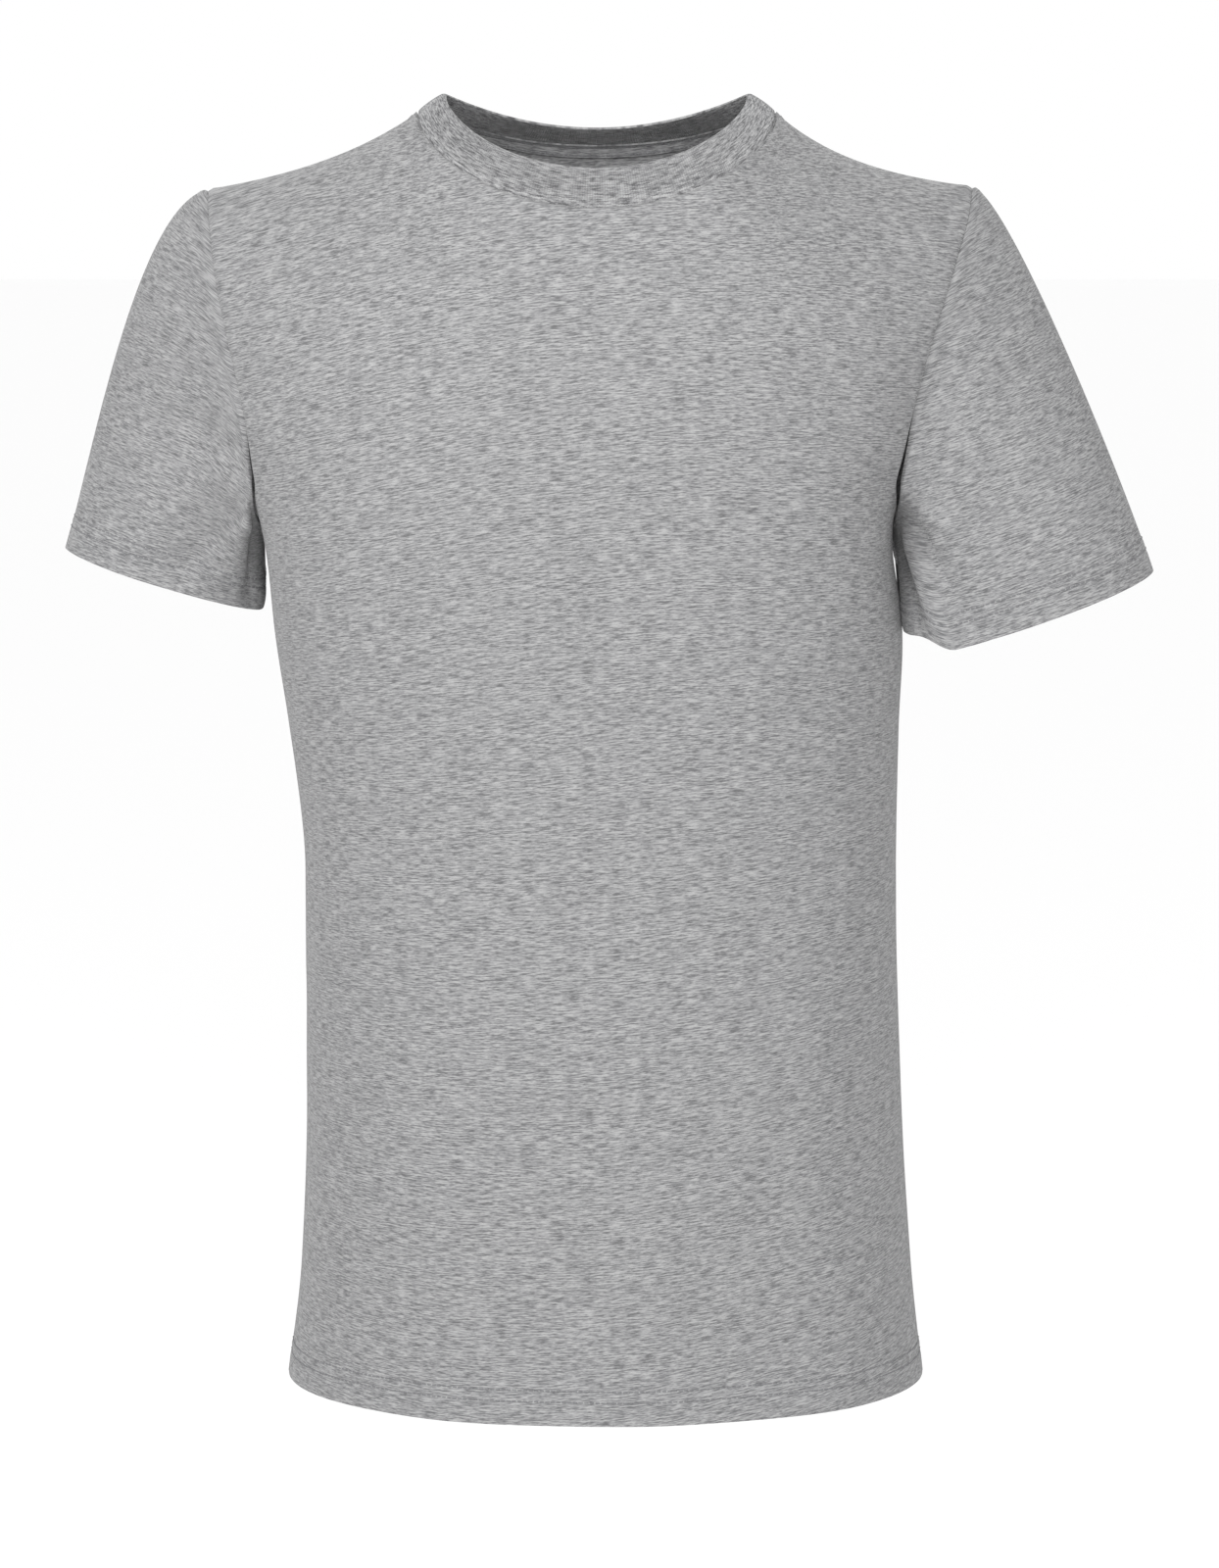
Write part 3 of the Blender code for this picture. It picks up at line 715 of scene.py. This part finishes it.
def stitches(name, paths, material, long=STITCH, thick=THREAD):
    """Short lengths of thread along these lines of points, each with its outward normals."""
    profile = [(math.cos(a), math.sin(a)) for a in np.linspace(0, 2 * np.pi, 7)[:-1]]
    stations = ((0.10, 0.25), (0.22, 0.9), (0.5, 1.0), (0.78, 0.9), (0.90, 0.25))
    vertices, faces = [], []
    for points, normals in paths:
        steps = np.linalg.norm(np.diff(points, axis=0), axis=1)
        run = np.concatenate([[0], np.cumsum(steps)])
        count = int(run[-1] / long)
        for k in range(count):
            start = len(vertices)
            for share, swell in stations:
                at = (k + share) * run[-1] / count
                point = np.array([np.interp(at, run, points[:, axis]) for axis in range(3)])
                ahead = np.array([np.interp(at + 1e-4, run, points[:, axis]) for axis in range(3)])
                behind = np.array([np.interp(at - 1e-4, run, points[:, axis]) for axis in range(3)])
                normal = np.array([np.interp(at, run, normals[:, axis]) for axis in range(3)])
                along = ahead - behind
                along /= np.linalg.norm(along)
                side = np.cross(along, normal)
                side /= np.linalg.norm(side)
                normal = np.cross(side, along)
                lifted = point + normal * thick * (swell - 0.55)
                for c, s in profile:
                    vertices.append(lifted + (side * c + normal * s) * thick * (0.35 + 0.65 * swell))
            ring = len(profile)
            for station in range(len(stations) - 1):
                for j in range(ring):
                    a = start + station * ring + j
                    b = start + station * ring + (j + 1) % ring
                    faces.append((a, b, b + ring, a + ring))
            faces.append(tuple(range(start + ring - 1, start - 1, -1)))
            end = start + (len(stations) - 1) * ring
            faces.append(tuple(range(end, end + ring)))
    mesh = bpy.data.meshes.new(name)
    mesh.from_pydata([tuple(v) for v in vertices], [], faces)
    mesh.update()
    mesh.shade_smooth()
    mesh.materials.append(material)
    thing = bpy.data.objects.new(name, mesh)
    bpy.context.scene.collection.objects.link(thing)
    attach(thing, "root")
    return thing


def row_at(grid, normals, lengths, wanted, lift=0.0):
    """The line of points where each column's running length is `wanted`, with its normals."""
    points, outs = [], []
    for column in range(grid.shape[1]):
        reads = [
            [np.interp(wanted, lengths[:, column], values[:, column, axis]) for axis in range(3)]
            for values in (grid, normals)
        ]
        points.append(reads[0])
        outs.append(reads[1])
    points, outs = np.array(points), np.array(outs)
    return points + outs * lift, outs


# ---------------------------------------------------------------- the garment

# These greys suit the strong front light of this stage. They are darker than the cloth's own.
jersey = heather_knit("heather_single_jersey", "898989", "545455", "717172", 0.9, 0.7, 0.0006)
rib_knit = heather_knit("heather_one_by_one_rib", "8D8D8D", "4A4A4B", "707071", 0.7, 0.7, 0.0005)
thread = spun_thread()

forms = {face: panel(face) for face in FACES}
relief_normals = {}
first = (COLUMNS - NECK_COLUMNS) // 2
last = first + NECK_COLUMNS

for face in FACES:
    grid = forms[face]
    out = normals_of(grid, False)
    relief = body_relief(grid, face)
    neck = grid[-1, first : last + 1]
    near_neck = np.zeros_like(relief)
    near_neck[-30:] = near_seam(edge_distance(grid[-30:], neck), *NECK_DIP)
    relief += near_neck
    sides = np.zeros_like(relief)
    for column, others in ((0, slice(0, 12)), (-1, slice(-12, None))):
        steps = np.linalg.norm(grid[:, others] - grid[:, [column]], axis=2)
        sides[:, others] += near_seam(steps, *SIDE_DIP)
    relief += sides
    shoulder = np.zeros_like(relief)
    shoulder_columns = [k for k in range(COLUMNS + 1) if k <= first or k >= last]
    steps = np.linalg.norm(grid[-12:, shoulder_columns] - grid[-1:, shoulder_columns], axis=2)
    shoulder[-12:, shoulder_columns] = near_seam(steps, *SHOULDER_DIP)
    relief += shoulder
    outer = grid + out * relief[..., None]
    inner = outer - normals_of(outer, False) * CLOTH
    across = cloth_lengths(grid, 1)
    across -= across[:, [COLUMNS // 2]]
    x, level = grid[..., 0], grid[..., 2]
    high = ease((level + 0.60) / 0.45)
    tilt_high = 0.085 * x - 0.55 * x * x
    tilt_low = 0.07 * x + 0.45 * x * x
    course_height = level - (tilt_high * high + tilt_low * (1 - high))
    knit = np.stack([across, course_height], axis=-1)
    shell(face + "_panel", outer, inner, False, jersey, knit, face)
    relief_normals[face] = (outer, normals_of(outer, False))

for side in SIDES:
    grid, turns, lengths = sleeve(forms["front"], forms["back"], side)
    out = normals_of(grid, True)
    relief = sleeve_relief(turns, lengths, side)
    outer = grid + out * relief[..., None]
    outer_normals = normals_of(outer, True)
    inner = outer - outer_normals * CLOTH
    wrapped = np.concatenate([grid, grid[:, :1]], axis=1)
    across = cloth_lengths(wrapped, 1)
    middle_row = across[len(across) // 2]
    down = np.concatenate([lengths, lengths[:, :1]], axis=1)
    from_hem = down[-1:] - down
    knit = np.stack([np.tile(middle_row, (len(down), 1)), from_hem], axis=-1)
    shell(side + "_sleeve_cloth", outer, inner, True, jersey, knit, side + "_sleeve")
    relief_normals[side] = (outer, outer_normals, lengths)

# The collar, with its wales as real ribs.
seam, upper = neck_ring(forms), rib_edge()
closed_seam = np.concatenate([seam, seam[:1]])
round_run = np.concatenate([[0], np.cumsum(np.linalg.norm(np.diff(closed_seam, axis=0), axis=1))])
ribs = int(round_run[-1] / RIB_PITCH)
around = np.arange(ribs * 4) / (ribs * 4) * round_run[-1]


def spread_round(ring):
    closed = np.concatenate([ring, ring[:1]])
    return np.stack([np.interp(around, round_run, closed[:, axis]) for axis in range(3)], axis=-1)


low_ring, high_ring = spread_round(seam), spread_round(upper)
heights = np.array([-0.08, -0.04, -0.01, 0.02, 0.05, 0.09, 0.2, 0.35, 0.5, 0.65, 0.8, 0.92, 0.985, 1.0])
collar_form = np.array([low_ring + (high_ring - low_ring) * h for h in heights])
collar_out = normals_of(collar_form, True)
wave = np.cos(np.arange(ribs * 4) * np.pi / 2)
swell = RIB_SWELL * np.sin(np.pi * np.clip(heights, 0, 1)) ** 0.6
rim = RIM_FOLD * ease((heights - 0.93) / 0.07)
tuck = -SEAM_TUCK * ease((0.07 - heights) / 0.09)
rib_depth = RIB_DEPTH * ease((1 - heights) / 0.03)
relief = (swell - rim + tuck)[:, None] + rib_depth[:, None] * wave
collar_outer = collar_form + collar_out * relief[..., None]
inner_relief = (tuck - RIB_CLOTH + rim)[:, None] - rib_depth[:, None] * wave
collar_inner = collar_form + collar_out * inner_relief[..., None]
knit = np.stack(
    [
        np.tile(np.concatenate([around, round_run[-1:]]), (len(heights), 1)),
        np.tile((heights * RIB_HEIGHT)[:, None], (1, len(around) + 1)),
    ],
    axis=-1,
)
shell("rib_collar", collar_outer, collar_inner, True, rib_knit, knit, "collar")

# The tape inside the back neck, laid over the seam from the collar down onto the back.
back_outer, back_out = relief_normals["back"]
keep = slice(first + 2, last - 1)
tape_lengths = np.tile(np.linspace(0, 0.007, 6)[:, None], last - first - 3)
on_back = at_lengths(forms["back"][::-1, keep], tape_lengths)
seam_row = forms["back"][-1, keep]
edge_row = rib_edge()[NECK_COLUMNS + 1 :][::-1][1:-1]
towards = edge_row - seam_row
towards /= np.linalg.norm(towards, axis=1, keepdims=True)
tape_form = np.concatenate([[seam_row + towards * 0.004, seam_row + towards * 0.002], on_back])
tape_out = normals_of(tape_form, False)
tape_outer = tape_form - tape_out * (RIB_CLOTH + 0.0003)
tape_inner = tape_outer - tape_out * 0.0010
tape_across = cloth_lengths(tape_form, 1)
knit = np.stack([tape_across, np.tile((np.arange(8) * 0.0014)[:, None], (1, tape_across.shape[1]))], axis=-1)
shell("back_neck_tape", tape_outer, tape_inner, False, jersey, knit, "neck_tape")

# Rows of stitches.
hem_paths = []
for face in FACES:
    outer, out = relief_normals[face]
    level_run = outer[..., 2] - HEM_LEVEL
    for row in (HEM_DEPTH - 0.001, HEM_DEPTH - 0.001 - NEEDLE_GAP):
        hem_paths.append(row_at(outer, out, level_run, row))
stitches("hem_stitches", hem_paths, thread)
for side in SIDES:
    outer, out, lengths = relief_normals[side]
    closed, closed_out = (np.concatenate([g, g[:, :1]], axis=1) for g in (outer, out))
    closed_lengths = np.concatenate([lengths, lengths[:, :1]], axis=1)
    run = closed_lengths[-1:] - closed_lengths
    paths = [
        row_at(closed[::-1], closed_out[::-1], run[::-1], row)
        for row in (HEM_DEPTH - 0.001, HEM_DEPTH - 0.001 - NEEDLE_GAP)
    ]
    stitches(side + "_cuff_stitches", paths, thread)
tape_paths = []
for row in (1, 6):
    tape_paths.append((tape_inner[row], -tape_out[row]))
stitches("tape_stitches", tape_paths, thread, long=0.0026)

# ---------------------------------------------------------------- floor, light and camera


def studio_card(name, size, place, strength):
    lamp = bpy.data.lights.new(name, "AREA")
    lamp.shape = "RECTANGLE"
    lamp.size, lamp.size_y = size
    lamp.energy = strength
    thing = bpy.data.objects.new(name, lamp)
    thing.location = place
    bpy.context.scene.collection.objects.link(thing)
    aim = np.array([0, 0, -0.3]) - np.array(place)
    thing.rotation_euler = (
        math.atan2(math.hypot(aim[0], aim[1]), -aim[2]),
        0,
        math.atan2(aim[1], aim[0]) - math.pi / 2,
    )
    return thing


def make_stage():
    bpy.ops.mesh.primitive_plane_add(size=60, location=(0, 0, FLOOR_LEVEL))
    floor = bpy.context.object
    floor.name = "pale_floor"
    paint = bpy.data.materials.new("matt_white_floor")
    paint.use_nodes = True
    shader = paint.node_tree.nodes["Principled BSDF"]
    shader.inputs["Base Color"].default_value = linear("FCFCFC")
    shader.inputs["Roughness"].default_value = 0.95
    floor.data.materials.append(paint)
    world = bpy.data.worlds.new("soft_white")
    bpy.context.scene.world = world
    world.use_nodes = True
    world.node_tree.nodes["Background"].inputs["Color"].default_value = linear("FFFFFF")
    world.node_tree.nodes["Background"].inputs["Strength"].default_value = 1.0
    studio_card("key_card", (0.9, 0.9), (-0.75, -1.35, 0.95), 22)
    studio_card("front_card", (1.2, 0.8), (0.0, -3.3, 0.55), 90)


def make_camera():
    camera = bpy.data.cameras.new("camera")
    camera.lens = 129.9
    camera.sensor_width = 36
    camera.clip_end = 200
    thing = bpy.data.objects.new("camera", camera)
    thing.location = (0, -3.1, 0.05)
    thing.rotation_euler = (math.radians(90 - 7.69), 0, math.radians(-0.13))
    bpy.context.scene.collection.objects.link(thing)
    bpy.context.scene.camera = thing


make_stage()
make_camera()
bpy.context.scene.view_settings.view_transform = "Standard"
